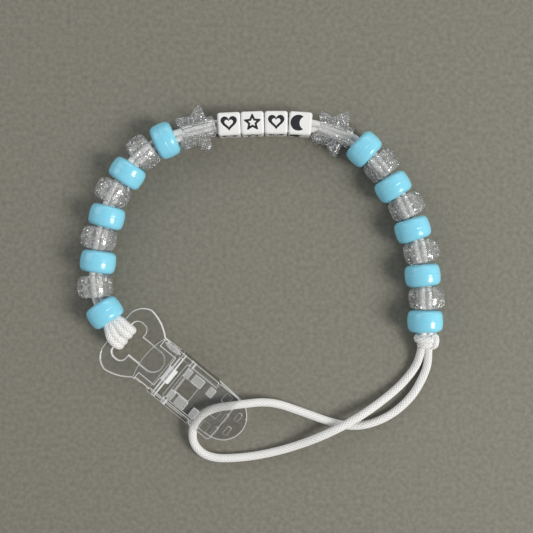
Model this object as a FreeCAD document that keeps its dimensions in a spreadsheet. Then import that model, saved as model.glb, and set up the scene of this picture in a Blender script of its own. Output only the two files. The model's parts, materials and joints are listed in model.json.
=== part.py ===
"""Beaded pacifier clip: a strap of beads on a doubled satin cord, with a clear
plastic clip hitched on at one end and a cord loop knotted on at the other.

Millimetres, +Z up.  The strap lies on a table (Z = 0) and the origin is the
middle of its footprint.  Every bead's hole runs along its own X axis.
"""
import FreeCAD, Part
import math
import os
import re

import Sketcher
from FreeCAD import Placement, Rotation, Vector

DOC = FreeCAD.newDocument("beaded_strap")

# ---------------------------------------------------------------- sizes

SIZES = [
    # the two colours of barrel bead share one mould
    ("pony_diameter", 9.0),
    ("pony_length", 5.6),
    ("pony_hole", 4.4),
    ("pony_crown", 0.14),
    ("pony_shoulder", 1.6),
    ("pony_shoulder_depth", 1.25),
    ("pony_shoulder_round", 1.45),
    ("pony_rim", 0.25),
    # square beads
    ("cube_size", 5.8),
    ("cube_hole", 3.9),
    ("cube_round", 0.7),
    # star beads, which lie flat
    ("star_tip_radius", 6.8),
    ("star_valley_radius", 3.6),
    ("star_thick", 6.0),
    ("star_hole", 3.9),
    ("star_arm_reach", 4.6),
    ("star_arm_width", 4.9),
    ("star_tip_round", 0.8),
    ("star_edge_round", 0.7),
    # cord
    ("cord_diameter", 2.07),
    ("strand_diameter", 1.6),
    ("strand_gap", 0.06),
    ("bead_gap", 0.05),
    # end knot
    ("knot_length", 4.0),
    ("knot_width", 6.1),
    ("knot_height", 4.6),
    ("knot_rise", 3.2),
    # clip: head plate with the strap slot
    ("head_rise", 2.0),
    ("head_thick", 1.8),
    ("head_top", 0.3),
    ("head_flat_half", 4.6),
    ("head_corner_round", 4.8),
    ("head_half_width", 9.7),
    ("lobe_along", 4.2),
    ("lobe_round", 12.0),
    ("neck_along", 11.2),
    ("bar_width", 2.3),
    ("slot_half_width", 5.5),
    ("slot_depth", 4.0),
    ("slot_round", 1.7),
    ("tongue_half_width", 2.75),
    ("tongue_end", 15.2),
    # clip: body and lower jaw
    ("body_width", 13.0),
    ("wall_thick", 1.2),
    ("wall_start", 16.0),
    ("wall_end", 29.0),
    ("wall_height", 6.2),
    ("block_length", 1.4),
    ("wing_start", 11.9),
    ("wing_end", 17.0),
    ("wing_bulge", 0.7),
    ("wing_height", 6.4),
    ("jaw_end_round", 6.2),
    ("clip_length", 41.3),
    ("jaw_thick", 1.8),
    ("nub_height", 0.7),
    ("nub_root", 0.2),
    # clip: pin, lever and upper jaw
    ("pin_diameter", 1.2),
    ("pin_play", 0.06),
    ("end_inset", 0.05),
    ("pin_along", 17.8),
    ("pin_rise", 5.3),
    ("lever_thick", 1.3),
    ("lever_reach", 7.7),
    ("lever_half_width", 6.3),
    ("lever_waist", 4.4),
    ("lever_bulge", 1.1),
    ("lever_gap", 0.6),
    ("knuckle_radius", 1.35),
    ("knuckle_half", 2.0),
    ("upper_start", 19.7),
    ("upper_end", 35.8),
    ("upper_rise", 4.6),
    ("upper_thick", 1.2),
    ("window_start", 21.6),
    ("window_end", 25.7),
    ("rail_inner", 2.1),
    ("rail_outer", 4.6),
    ("rail_height", 0.8),
    ("tooth_start", 32.0),
    ("tooth_end", 34.0),
    ("side_gap", 0.25),
    ("trunnion_diameter", 1.4),
    ("trunnion_along", 20.9),
    ("tooth_depth", 0.5),
    ("clip_heading", -39.3),
    # the hitch: where the first bead's face stands from the clip's origin
    ("hitch_reach", 1.9),
    ("hitch_aside", 1.0),
    ("neck_half_width", 1.7),
    ("neck_half_height", 1.0),
    ("strand_lead", 0.3),
    ("knot_bite", 0.4),
]

# where the strap's middle stands, in the part's frame
MIDDLE = Vector(0.9, 38.2, 0)

SHEET = DOC.addObject("Spreadsheet::Sheet", "sizes")
for row, (alias, amount) in enumerate(SIZES, start=1):
    SHEET.set(f"A{row}", alias)
    SHEET.set(f"B{row}", str(amount))
    SHEET.setAlias(f"B{row}", alias)
DOC.recompute()


def size(expression):
    """The value of an expression in the sheet's aliases."""
    return float(SHEET.evalExpression(expression))


def bound(expression):
    """The same expression as another object of the document writes it."""
    aliases = {alias for alias, _ in SIZES}
    return re.sub(
        "[a-z][a-z_]*",
        lambda word: f"sizes.{word[0]}" if word[0] in aliases else word[0],
        expression,
    )


# ---------------------------------------------------------------- sketch helpers


def new_body(label):
    body = DOC.addObject("PartDesign::Body", label)
    body.Label = label
    return body


def new_sketch(body, plane, name, rise="0"):
    """A sketch on one of the body's origin planes, lifted along its normal."""
    sketch = body.newObject("Sketcher::SketchObject", f"{body.Name}_{name}")
    origin = [f for f in body.Origin.OriginFeatures if f.Role == plane]
    sketch.AttachmentSupport = [(origin[0], "")]
    sketch.MapMode = "FlatFace"
    sketch.setExpression("AttachmentOffset.Base.z", bound(rise))
    return sketch


def pin_point(sketch, geometry, end, place):
    """Ties one end of a line or arc to two expressions."""
    for kind, text in zip(("DistanceX", "DistanceY"), place):
        index = sketch.addConstraint(
            Sketcher.Constraint(kind, -1, 1, geometry, end, size(text))
        )
        sketch.setExpression(f"Constraints[{index}]", bound(text))


def outline(sketch, points, closed=True):
    """Lines through points given as expressions.  A radius after a point makes
    the run that ends there an arc that bulges to its left."""
    count = len(points)
    for i in range(count if closed else count - 1):
        here, there = points[i], points[(i + 1) % count]
        start = Vector(size(here[0]), size(here[1]), 0)
        end = Vector(size(there[0]), size(there[1]), 0)
        if len(there) == 2:
            geometry = sketch.addGeometry(Part.LineSegment(start, end), False)
            first, last = 1, 2
        else:
            radius = size(there[2])
            chord = end - start
            height = math.sqrt(max(radius**2 - (chord.Length / 2) ** 2, 0))
            aside = Vector(chord.y, -chord.x, 0).normalize() * height
            centre = (start + end) * 0.5 + aside
            ring = Part.Circle(centre, Vector(0, 0, 1), radius)
            angles = [ring.parameter(end), ring.parameter(start)]
            if angles[1] < angles[0]:
                angles[1] += 2 * math.pi
            geometry = sketch.addGeometry(Part.ArcOfCircle(ring, *angles), False)
            first, last = 2, 1
            index = sketch.addConstraint(
                Sketcher.Constraint("Radius", geometry, radius)
            )
            sketch.setExpression(f"Constraints[{index}]", bound(there[2]))
        pin_point(sketch, geometry, first, here)
        pin_point(sketch, geometry, last, there)


def circle(sketch, across, up, radius):
    centre = Vector(size(across), size(up), 0)
    geometry = sketch.addGeometry(
        Part.Circle(centre, Vector(0, 0, 1), size(radius)), False
    )
    pin_point(sketch, geometry, 3, (across, up))
    index = sketch.addConstraint(
        Sketcher.Constraint("Radius", geometry, size(radius))
    )
    sketch.setExpression(f"Constraints[{index}]", bound(radius))


def rectangle(sketch, left, right, low, high):
    outline(sketch, [(left, low), (right, low), (right, high), (left, high)])


def pad(body, sketch, height, both_ways=False):
    feature = body.newObject("PartDesign::Pad", sketch.Name + "_pad")
    feature.Profile = sketch
    feature.Midplane = both_ways
    feature.setExpression("Length", bound(height))
    DOC.recompute()
    return feature


def cut_through(body, sketch):
    feature = body.newObject("PartDesign::Pocket", sketch.Name + "_cut")
    feature.Profile = sketch
    feature.Midplane = True
    feature.Type = 1
    DOC.recompute()
    return feature


def round_edges(body, base, names, radius):
    feature = body.newObject("PartDesign::Fillet", f"{base.Name}_round")
    feature.Base = (base, names)
    feature.setExpression("Radius", bound(radius))
    DOC.recompute()
    return feature


def edges_where(shape, test):
    """Names of the edges whose middle passes the test."""
    names = []
    for number, edge in enumerate(shape.Edges, start=1):
        ends = edge.ParameterRange
        middle = edge.valueAt((ends[0] + ends[1]) / 2)
        if test(edge, middle):
            names.append(f"Edge{number}")
    return names


# ---------------------------------------------------------------- beads


def pony_bead(label):
    """A barrel turned about X: flat faces, round shoulders, a slight crown."""
    body = new_body(label)
    sketch = new_sketch(body, "XY_Plane", "profile")
    half = "pony_length / 2"
    bore = "pony_hole / 2"
    face = "pony_diameter / 2 - pony_shoulder"
    side = "pony_length / 2 - pony_shoulder_depth"
    top = "pony_diameter / 2 - pony_crown"
    crown = f"(({side})^2 + pony_crown^2) / (2 * pony_crown)"
    outline(
        sketch,
        [
            (f"-{half} + pony_rim", bore),
            (f"-{half}", f"{bore} + pony_rim"),
            (f"-{half}", face),
            (f"-({side})", top, "pony_shoulder_round"),
            (side, top, crown),
            (half, face, "pony_shoulder_round"),
            (half, f"{bore} + pony_rim"),
            (f"{half} - pony_rim", bore),
        ],
    )
    turned = body.newObject("PartDesign::Revolution", f"{label}_turned")
    turned.Profile = sketch
    axis = [line for line in body.Origin.OriginFeatures if line.Role == "X_Axis"]
    turned.ReferenceAxis = (axis[0], [""])
    DOC.recompute()
    return body


def cube_bead(label):
    body = new_body(label)
    square = new_sketch(body, "XY_Plane", "square")
    side = "cube_size / 2"
    rectangle(square, f"-{side}", side, f"-{side}", side)
    block = pad(body, square, "cube_size", both_ways=True)
    every = [f"Edge{n}" for n in range(1, len(block.Shape.Edges) + 1)]
    round_edges(body, block, every, "cube_round")
    hole = new_sketch(body, "YZ_Plane", "hole")
    circle(hole, "0", "0", "cube_hole / 2")
    cut_through(body, hole)
    return body


def star_bead(label):
    """Five points, one of them cut off square for the hole, which runs from
    there to the valley opposite."""
    body = new_body(label)
    sketch = new_sketch(body, "XY_Plane", "star")
    arm = "star_arm_width / 2"
    points = [("star_arm_reach", f"-{arm}"), ("star_arm_reach", arm)]
    for step in range(1, 10):
        reach = "star_valley_radius" if step % 2 else "star_tip_radius"
        turn = f"{36 * step} deg"
        points.append((f"{reach} * cos({turn})", f"{reach} * sin({turn})"))
    outline(sketch, points)
    slab = pad(body, sketch, "star_thick", both_ways=True)
    tip = size("star_tip_radius - star_edge_round")
    tips = edges_where(
        slab.Shape,
        lambda edge, middle: abs(middle.z) < 0.01
        and math.hypot(middle.x, middle.y) > tip,
    )
    rounded = round_edges(body, slab, tips, "star_tip_round")
    top = size("star_thick / 2") - 0.01
    rims = edges_where(rounded.Shape, lambda edge, middle: abs(middle.z) > top)
    round_edges(body, rounded, rims, "star_edge_round")
    hole = new_sketch(body, "YZ_Plane", "hole")
    circle(hole, "0", "0", "star_hole / 2")
    cut_through(body, hole)
    return body


# Each bead, from the strap's middle outwards: name, kind, turn at the gap
# before it, and how far it sits off the cord's line, to the outside of the bend.
TO_CLIP = [
    ("cube_bead_2", "cube", 2, 0),
    ("cube_bead_1", "cube", 1, 0),
    ("star_bead_1", "star", 12, 0),
    ("blue_bead_5", "pony", 9, 0),
    ("clear_bead_4", "pony", 14, 0.3),
    ("blue_bead_4", "pony", 19, -0.35),
    ("clear_bead_3", "pony", 6, 0.4),
    ("blue_bead_3", "pony", 13, -0.35),
    ("clear_bead_2", "pony", 3, 0.4),
    ("blue_bead_2", "pony", 3, -0.35),
    ("clear_bead_1", "pony", 12, 0.15),
    ("blue_bead_1", "pony", 30, 0),
]
TO_KNOT = [
    ("cube_bead_3", "cube", 0, 0),
    ("cube_bead_4", "cube", 4, 0),
    ("star_bead_2", "star", 16, -0.1),
    ("blue_bead_6", "pony", 24, -0.1),
    ("clear_bead_5", "pony", 7, 0.4),
    ("blue_bead_7", "pony", 8, -0.35),
    ("clear_bead_6", "pony", 6, 0.4),
    ("blue_bead_8", "pony", 7, -0.35),
    ("clear_bead_7", "pony", 6, 0.4),
    ("blue_bead_9", "pony", 6, -0.3),
    ("clear_bead_8", "pony", 3, 0.3),
    ("blue_bead_10", "pony", 2, -0.3),
]
MAKERS = {"pony": pony_bead, "cube": cube_bead, "star": star_bead}


def bead_ends(kind, outwards):
    """Half lengths before and after the centre, the radius at which each face
    would first touch its neighbour, and the height of the centre."""
    if kind == "pony":
        half = size("pony_length / 2")
        touch = size("pony_diameter / 2 - pony_shoulder")
        return half, half, touch, touch, size("pony_diameter / 2")
    if kind == "cube":
        half = size("cube_size / 2")
        touch = size("cube_size / 2 * sqrt(2) - cube_round")
        return half, half, touch, touch, half
    reach = size("star_tip_radius - star_tip_round / sin(30 deg)")
    notch = reach * math.cos(math.radians(36)) + size("star_tip_round")
    thick = size("star_thick / 2")
    edge = size("star_edge_round")
    spread = math.hypot(reach * math.sin(math.radians(36)), thick) - edge
    arm = size("star_arm_reach")
    wide = math.hypot(size("star_arm_width / 2"), thick) - edge
    middle = size("(pony_diameter + cube_size) / 4")
    if outwards > 0:
        return notch, arm, spread, wide, middle
    return arm, notch, wide, spread, middle


def lay_chain(rows, start_angle, outwards):
    """Walks outwards from the strap's middle.  Returns each bead's placement,
    the cord's points at the gaps, and the last face with its direction."""
    drop = size("(pony_diameter - cube_size) / 2")
    span = size("star_arm_reach + star_tip_radius + (pony_length + cube_size) / 2")
    slope = math.degrees(math.atan2(drop, span))
    angle = start_angle
    point = Vector(MIDDLE)
    placements = {}
    gaps = []
    before = None
    for name, kind, turn, off in rows:
        near, far, touch_near, touch_far, height = bead_ends(kind, outwards)
        after = angle - outwards * turn
        pitch = slope if kind == "star" else 0
        if before:
            tilt = math.radians(math.hypot(turn, pitch - before["pitch"]))
            room = (before["touch"] + touch_near) * math.tan(tilt / 2)
            room += size("bead_gap")
        else:
            room = 2 * touch_near * math.tan(math.radians(turn) / 2)
            room += size("bead_gap / 2")
        middle_angle = math.radians((angle + after) / 2)
        step = Vector(math.cos(middle_angle), math.sin(middle_angle), 0)
        edge = point + step * room
        way = Vector(math.cos(math.radians(after)), math.sin(math.radians(after)), 0)
        centre = edge + way * (near * math.cos(math.radians(pitch)))
        centre.z = height
        if before:
            joint = (point + edge) * 0.5
            joint.z = (before["height"] + height) / 2
            gaps.append(joint)
        aside = Vector(-way.y, way.x, 0) * (off * outwards)
        turn_z = Rotation(Vector(0, 0, 1), after if outwards > 0 else after + 180)
        tip = Rotation(Vector(0, 1, 0), -pitch * outwards)
        placements[name] = Placement(centre + aside, turn_z.multiply(tip))
        point = edge + way * ((near + far) * math.cos(math.radians(pitch)))
        before = {"touch": touch_far, "pitch": pitch, "height": height}
        angle = after
    point.z = before["height"]
    return placements, gaps, point, angle


# ---------------------------------------------------------------- cords


def rounded_route(points):
    """Straight runs joined by tangent arcs, each as large as its runs allow."""
    edges = []
    radii = []
    cursor = points[0]
    for a, b, c in zip(points, points[1:], points[2:]):
        before, after = (b - a), (c - b)
        turn = before.getAngle(after)
        if turn < 1e-4:
            continue
        reach = 0.45 * min(before.Length, after.Length)
        radii.append(reach / math.tan(turn / 2))
        first = b - before.normalize() * reach
        last = b + after.normalize() * reach
        inside = (first + last) * 0.5 - b
        sag = radii[-1] / math.cos(turn / 2) - radii[-1]
        middle = b + inside.normalize() * sag
        edges.append(Part.LineSegment(cursor, first).toShape())
        edges.append(Part.Arc(first, middle, last).toShape())
        cursor = last
    edges.append(Part.LineSegment(cursor, points[-1]).toShape())
    return Part.Wire(edges), radii


def cord_solid(points, diameter):
    wire, radii = rounded_route(points)
    start = wire.Edges[0]
    ring = Part.Wire(
        Part.makeCircle(diameter / 2, points[0], start.tangentAt(start.FirstParameter))
    )
    solid = Part.Wire(wire).makePipeShell([ring], True, True)
    section = math.pi * diameter**2 / 4
    print(
        f"  cord {wire.Length:.1f} long, volume / (section x length) "
        f"{solid.Volume / (section * wire.Length):.4f}, smallest radius {min(radii):.1f}"
    )
    return solid


def add_solid(label, shape, placement=None):
    feature = DOC.addObject("Part::Feature", label)
    feature.Label = label
    feature.Shape = shape
    if placement:
        feature.Placement = placement
    return feature


def offset_route(points, across):
    """The same route moved sideways in plan."""
    moved = []
    for i, point in enumerate(points):
        before = point - points[i - 1] if i else points[1] - point
        after = points[i + 1] - point if i + 1 < len(points) else before
        a, b = math.atan2(before.y, before.x), math.atan2(after.y, after.x)
        bend = math.atan2(math.sin(b - a), math.cos(b - a))
        normal = a + bend / 2 + math.pi / 2
        reach = across / math.cos(bend / 2)
        moved.append(point + Vector(math.cos(normal), math.sin(normal), 0) * reach)
    return moved


# The loop's route: out of the knot, over itself, round through the clip's jaws
# and back.  Each point goes with the knot or with the clip.
LOOP_ROUTE = [
    ("knot", 40.6, -18.3, 2.40),
    ("knot", 40.3, -22.5, 1.20),
    ("knot", 35.8, -26.7, 1.04),
    ("knot", 29.7, -31.5, 1.90),
    ("clip", 23.8, -36.2, 3.45),
    ("clip", 16.6, -40.5, 3.45),
    ("clip", 9.7, -43.5, 1.70),
    ("clip", 2.8, -45.6, 1.04),
    ("clip", -4.9, -46.9, 1.04),
    ("clip", -13.2, -47.0, 1.30),
    ("clip", -17.5, -43.2, 2.30),
    ("clip", -17.2, -37.6, 3.00),
    ("clip", -13.0, -33.9, 2.95),
    ("clip", -5.7, -33.0, 3.00),
    ("clip", 2.4, -32.2, 2.20),
    ("clip", 10.7, -35.2, 1.04),
    ("clip", 18.8, -38.2, 1.04),
    ("knot", 25.4, -39.0, 1.04),
    ("knot", 32.6, -36.5, 1.04),
    ("knot", 38.4, -31.6, 1.04),
    ("knot", 41.5, -26.2, 1.04),
    ("knot", 42.9, -22.1, 1.20),
    ("knot", 42.8, -18.4, 2.40),
]
# where the last bead's face and the clip stand at the sizes above
KNOT_HOME = Vector(41.70494, -14.52618, 0)
CLIP_HOME = Vector(-36.89584, -13.91363, 0)


# ---------------------------------------------------------------- clip
# The clip's own frame: X runs from the strap slot to the round jaw, Y across.

# Grip nubs on the lower jaw: distance back from the tip, length, and sides.
NUBS = [
    ("6.1", "1.1", "-5.3", "-2.9"),
    ("6.1", "1.1", "-1.3", "1.3"),
    ("3.6", "1.2", "-3.4", "-0.9"),
    ("3.6", "1.2", "1.2", "3.5"),
]
# Raised pads along the upper jaw's two rails, and its three teeth across.
RAIL_BLOCKS = [("20.6", "22.2"), ("23.0", "26.1"), ("27.8", "29.7")]
TEETH = [("-5.7", "-3.2"), ("-1.3", "1.3"), ("3.2", "5.7")]
# The strand turns round the head bar, in strand pitches from the middle.
HITCH_TURNS = (-1.5, -0.5, 0.5, 1.5)


def clip_base():
    """Head plate with a mushroom slot, raised over a longer lower jaw, with
    side walls that carry the pin and the upper jaw."""
    body = new_body("clip_base")
    half = "body_width / 2"
    block_end = "wall_start + block_length"
    round_start = "clip_length - jaw_end_round"

    jaw = new_sketch(body, "XY_Plane", "lower_jaw")
    outline(
        jaw,
        [
            ("wall_start", half),
            ("wall_end", half),
            (round_start, "jaw_end_round"),
            ("clip_length", "0", "jaw_end_round"),
            (round_start, "-jaw_end_round", "jaw_end_round"),
            ("wall_end", f"-{half}"),
            ("wall_start", f"-{half}"),
        ],
    )
    pad(body, jaw, "jaw_thick")

    block = new_sketch(body, "XY_Plane", "rear_block")
    rectangle(block, "wall_start", block_end, f"-{half}", half)
    pad(body, block, "head_rise + head_thick")

    head = new_sketch(body, "XY_Plane", "head", rise="head_rise")
    outline(
        head,
        [
            ("head_top", "-head_flat_half", "head_corner_round"),
            ("head_top", "head_flat_half"),
            ("lobe_along", "head_half_width", "head_corner_round"),
            ("neck_along", half, "lobe_round"),
            (block_end, half),
            (block_end, f"-{half}"),
            ("neck_along", f"-{half}"),
            ("lobe_along", "-head_half_width", "lobe_round"),
        ],
    )
    pad(body, head, "head_thick")

    for side, name in (("", "left"), ("-", "right")):
        wall = new_sketch(body, "XY_Plane", f"{name}_wall")
        inner = f"{side}({half} - wall_thick)"
        outer = f"{side}({half})"
        rectangle(wall, "wall_start", "wall_end", inner, outer)
        pad(body, wall, "wall_height")
        wing = new_sketch(body, "XY_Plane", f"{name}_wing", rise="head_rise")
        chord = "(wing_end - wing_start) / 2"
        bulge = f"(({chord})^2 + wing_bulge^2) / (2 * wing_bulge)"
        line = f"{side}({half} - wall_thick / 2)"
        outline(wing, [("wing_start", line, bulge), ("wing_end", line, bulge)])
        pad(body, wing, "wing_height - head_rise")

    slot = new_sketch(body, "XY_Plane", "slot")
    near = "head_top + bar_width"
    far = "head_top + bar_width + slot_depth"
    end = "slot_half_width"
    corner = "slot_half_width - slot_round"
    tongue = "tongue_half_width"
    outline(
        slot,
        [
            (near, f"-({corner})", "slot_round"),
            (near, corner),
            (f"{near} + slot_round", end, "slot_round"),
            (f"{far} - slot_round", end),
            (far, corner, "slot_round"),
            (far, tongue),
            (f"tongue_end - {tongue}", tongue),
            ("tongue_end", "0", tongue),
            (f"tongue_end - {tongue}", f"-{tongue}", tongue),
            (far, f"-{tongue}"),
            (far, f"-({corner})"),
            (f"{far} - slot_round", f"-{end}", "slot_round"),
            (f"{near} + slot_round", f"-{end}"),
        ],
    )
    cut_through(body, slot)

    holes = new_sketch(body, "XZ_Plane", "pin_and_trunnions")
    circle(holes, "pin_along", "pin_rise", "pin_diameter / 2")
    circle(
        holes, "trunnion_along", "upper_rise + upper_thick / 2",
        "trunnion_diameter / 2 + pin_play",
    )
    cut_through(body, holes)

    for number, (start, reach, low, high) in enumerate(NUBS):
        nub = new_sketch(body, "XY_Plane", f"nub_{number}", rise="jaw_thick - nub_root")
        rectangle(
            nub, f"clip_length - {start}", f"clip_length - {start} + {reach}",
            low, high,
        )
        pad(body, nub, "nub_height + nub_root")
    return body


def upper_jaw():
    """A windowed plate between the walls, wider past them, that turns on two
    trunnions and presses down with three teeth."""
    body = new_body("clip_upper_jaw")
    half = "body_width / 2"
    narrow = f"{half} - wall_thick - side_gap"
    wide_start = "wall_end + side_gap"
    plate = new_sketch(body, "XY_Plane", "plate", rise="upper_rise")
    outline(
        plate,
        [
            ("upper_start", f"-({narrow})"),
            (wide_start, f"-({narrow})"),
            (wide_start, f"-({half})"),
            ("upper_end", f"-({half})"),
            ("upper_end", half),
            (wide_start, half),
            (wide_start, narrow),
            ("upper_start", narrow),
        ],
    )
    pad(body, plate, "upper_thick")
    window = new_sketch(body, "XY_Plane", "window")
    rectangle(window, "window_start", "window_end", "-rail_inner", "rail_inner")
    cut_through(body, window)
    for side, name in (("", "left"), ("-", "right")):
        rail = new_sketch(
            body, "XY_Plane", f"{name}_rail", rise="upper_rise + upper_thick"
        )
        low, high = f"{side}rail_inner", f"{side}rail_outer"
        for start, end in RAIL_BLOCKS:
            rectangle(rail, start, end, low, high)
        pad(body, rail, "rail_height")
        trunnion = new_sketch(body, "XZ_Plane", f"{name}_trunnion")
        circle(
            trunnion, "trunnion_along", "upper_rise + upper_thick / 2",
            "trunnion_diameter / 2",
        )
        stub = pad(body, trunnion, f"{half} - end_inset")
        stub.Reversed = side == ""
    teeth = new_sketch(body, "XY_Plane", "teeth", rise="upper_rise - tooth_depth")
    for low, high in TEETH:
        rectangle(teeth, "tooth_start", "tooth_end", low, high)
    pad(body, teeth, "tooth_depth + nub_root")
    DOC.recompute()
    return body


def clip_lever():
    """A thumb tab with a curved edge on one knuckle that turns on the pin."""
    body = new_body("clip_lever")
    tab = new_sketch(body, "XY_Plane", "tab", rise="pin_rise - lever_thick / 2")
    edge = "pin_along - lever_reach"
    shoulder = f"{edge} + lever_bulge"
    waist_start = "wing_start - side_gap"
    waist_end = "wall_start + lever_gap"
    arc = "(lever_half_width^2 + lever_bulge^2) / (2 * lever_bulge)"
    outline(
        tab,
        [
            (shoulder, "-lever_half_width"),
            (shoulder, "lever_half_width", arc),
            (waist_start, "lever_half_width"),
            (waist_start, "lever_waist"),
            (waist_end, "lever_waist"),
            (waist_end, "knuckle_half"),
            ("pin_along", "knuckle_half"),
            ("pin_along", "-knuckle_half"),
            (waist_end, "-knuckle_half"),
            (waist_end, "-lever_waist"),
            (waist_start, "-lever_waist"),
            (waist_start, "-lever_half_width"),
        ],
    )
    pad(body, tab, "lever_thick")
    knuckle = new_sketch(body, "XZ_Plane", "knuckle")
    circle(knuckle, "pin_along", "pin_rise", "knuckle_radius")
    pad(body, knuckle, "2 * knuckle_half", both_ways=True)
    bore = new_sketch(body, "XZ_Plane", "bore")
    circle(bore, "pin_along", "pin_rise", "pin_diameter / 2 + pin_play")
    cut_through(body, bore)
    return body


def clip_pin():
    body = new_body("clip_pin")
    ring = new_sketch(body, "XZ_Plane", "section")
    circle(ring, "pin_along", "pin_rise", "pin_diameter / 2")
    pad(body, ring, "body_width - 2 * end_inset", both_ways=True)
    return body


def clip_hitch(face, heading):
    """The doubled cord's turns round the head bar, with the neck where they
    gather into the last bead's hole.  In the clip's frame."""
    thick = size("strand_diameter")
    reach = thick / 2 + size("strand_gap")
    left, right = size("head_top") - reach, size("head_top + bar_width") + reach
    low, high = size("head_rise") - reach, size("head_rise + head_thick") + reach
    turn = reach
    shapes = []
    for place in HITCH_TURNS:
        across = place * (thick + size("strand_gap"))
        corners = [
            Vector(left, across, low + turn), Vector(left, across, high - turn),
            Vector(left + turn, across, high), Vector(right - turn, across, high),
            Vector(right, across, high - turn), Vector(right, across, low + turn),
            Vector(right - turn, across, low), Vector(left + turn, across, low),
        ]
        edges = []
        for number in range(0, 8, 2):
            a, b = corners[number], corners[number + 1]
            c = corners[(number + 2) % 8]
            edges.append(Part.LineSegment(a, b).toShape())
            corner = Vector(
                b.x if number % 4 == 0 else c.x, across,
                c.z if number % 4 == 0 else b.z,
            )
            centre = b + c - corner
            middle = centre + (corner - centre).normalize() * turn
            edges.append(Part.Arc(b, middle, c).toShape())
        path = Part.Wire(edges)
        ring = Part.Wire(
            Part.makeCircle(thick / 2, corners[0], corners[1] - corners[0])
        )
        shapes.append(path.makePipeShell([ring], True, True))
    way = Vector(math.cos(heading), math.sin(heading), 0)
    mouth = Part.Wire(
        Part.Ellipse(
            face + Vector(-way.y, way.x, 0) * size("neck_half_width"),
            face + Vector(0, 0, size("neck_half_height")),
            face,
        ).toShape()
    )
    middle = Vector(left, 0, (low + high) / 2)
    wide = Part.Wire(
        Part.Ellipse(
            middle + Vector(0, 2 * thick, 0), middle + Vector(0, 0, (high - low) / 2),
            middle,
        ).toShape()
    )
    neck = Part.makeLoft([mouth, wide], True)
    return neck.multiFuse(shapes).removeSplitter()


# ---------------------------------------------------------------- assembly


def place_clip(face):
    """The clip's placement, from the first bead's outer face."""
    turn = Rotation(Vector(0, 0, 1), size("clip_heading"))
    seat = Vector(-size("hitch_reach"), size("hitch_aside"), 0)
    flat = Vector(face.x, face.y, 0)
    return Placement(flat - turn.multVec(seat), turn)


def build():
    toward_clip = lay_chain(TO_CLIP, 180, -1)
    toward_knot = lay_chain(TO_KNOT, 0, 1)
    kinds = {name: kind for name, kind, _, _ in TO_CLIP + TO_KNOT}
    for name, place in {**toward_clip[0], **toward_knot[0]}.items():
        bead = MAKERS[kinds[name]](name)
        bead.Placement = place

    clip_face, clip_angle = toward_clip[2], toward_clip[3]
    knot_face, knot_angle = toward_knot[2], toward_knot[3]
    clip_place = place_clip(clip_face)
    for maker in (clip_base, upper_jaw, clip_lever, clip_pin):
        maker().Placement = clip_place

    # the strap's two strands, side by side through every hole
    lead = size("strand_lead")
    clip_way = Vector(*(f(math.radians(clip_angle)) for f in (math.cos, math.sin)), 0)
    knot_way = Vector(*(f(math.radians(knot_angle)) for f in (math.cos, math.sin)), 0)
    bite = lead + size("knot_bite")
    first, last = clip_face + clip_way * lead, knot_face + knot_way * bite
    centre = Vector(MIDDLE.x, MIDDLE.y, size("cube_size / 2"))
    route = [first, *reversed(toward_clip[1]), centre, *toward_knot[1], last]
    apart = size("(strand_diameter + strand_gap) / 2")
    for label, across in (("strap_strand_inner", -apart), ("strap_strand_outer", apart)):
        line = offset_route(route, across)
        add_solid(label, cord_solid(line, size("strand_diameter")))

    back = clip_place.inverse()
    local_face = back.multVec(first)
    local_way = math.radians(clip_angle - size("clip_heading"))
    add_solid("clip_hitch", clip_hitch(local_face, local_way), clip_place)

    # the loop of cord and the knot that it leaves
    knot_shift = Vector(knot_face.x, knot_face.y, 0) - KNOT_HOME
    clip_shift = Vector(clip_place.Base) - CLIP_HOME
    shifts = {"knot": knot_shift, "clip": clip_shift}
    loop = [Vector(x, y, z) + shifts[end] for end, x, y, z in LOOP_ROUTE]
    add_solid("loop_cord", cord_solid(loop, size("cord_diameter")))
    middle = knot_face + knot_way * (lead + size("knot_length / 2"))
    middle.z = size("knot_rise")
    knot = DOC.addObject("Part::Ellipsoid", "end_knot")
    knot.Label = "end_knot"
    knot.setExpression("Radius1", "sizes.knot_height / 2")
    knot.setExpression("Radius2", "sizes.knot_length / 2")
    knot.setExpression("Radius3", "sizes.knot_width / 2")
    knot.Placement = Placement(middle, Rotation(Vector(0, 0, 1), knot_angle))
    DOC.recompute()
    print("clip at", clip_place.Base, "knot face", knot_face)


def sub_parts():
    """Every labelled piece, in the order in which it was made."""
    kinds = ("PartDesign::Body", "Part::Feature", "Part::Ellipsoid")
    return [piece for piece in DOC.Objects if piece.TypeId in kinds]


def check():
    for thing in DOC.Objects:
        if "Invalid" in thing.State or "Error" in thing.State:
            raise RuntimeError(f"{thing.Label} failed: {thing.State}")
    for piece in sub_parts():
        shape = piece.Shape
        if shape.isNull() or not shape.isValid() or len(shape.Solids) != 1:
            raise RuntimeError(f"{piece.Label} is not one sound solid")


def export():
    os.makedirs("parts", exist_ok=True)
    for piece in sub_parts():
        piece.Shape.exportStep(f"parts/{piece.Label}.step")


build()
check()
export()
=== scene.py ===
# %% [markdown]
# # A beaded strap with a clear clip
#
# A strap of barrel beads, two glitter stars and four white cubes, threaded on a
# doubled satin cord. A clear plastic clip is hitched on at one end, and a loop
# of cord is knotted on at the other. The solid model comes first and sets every
# place and size. This file builds what the eye sees round it: turned beads,
# moulded plates, braided cord and the finishes.

# %% Load the solid model
import json
import math
import random

import bmesh
import bpy
from mathutils import Matrix, Vector


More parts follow.
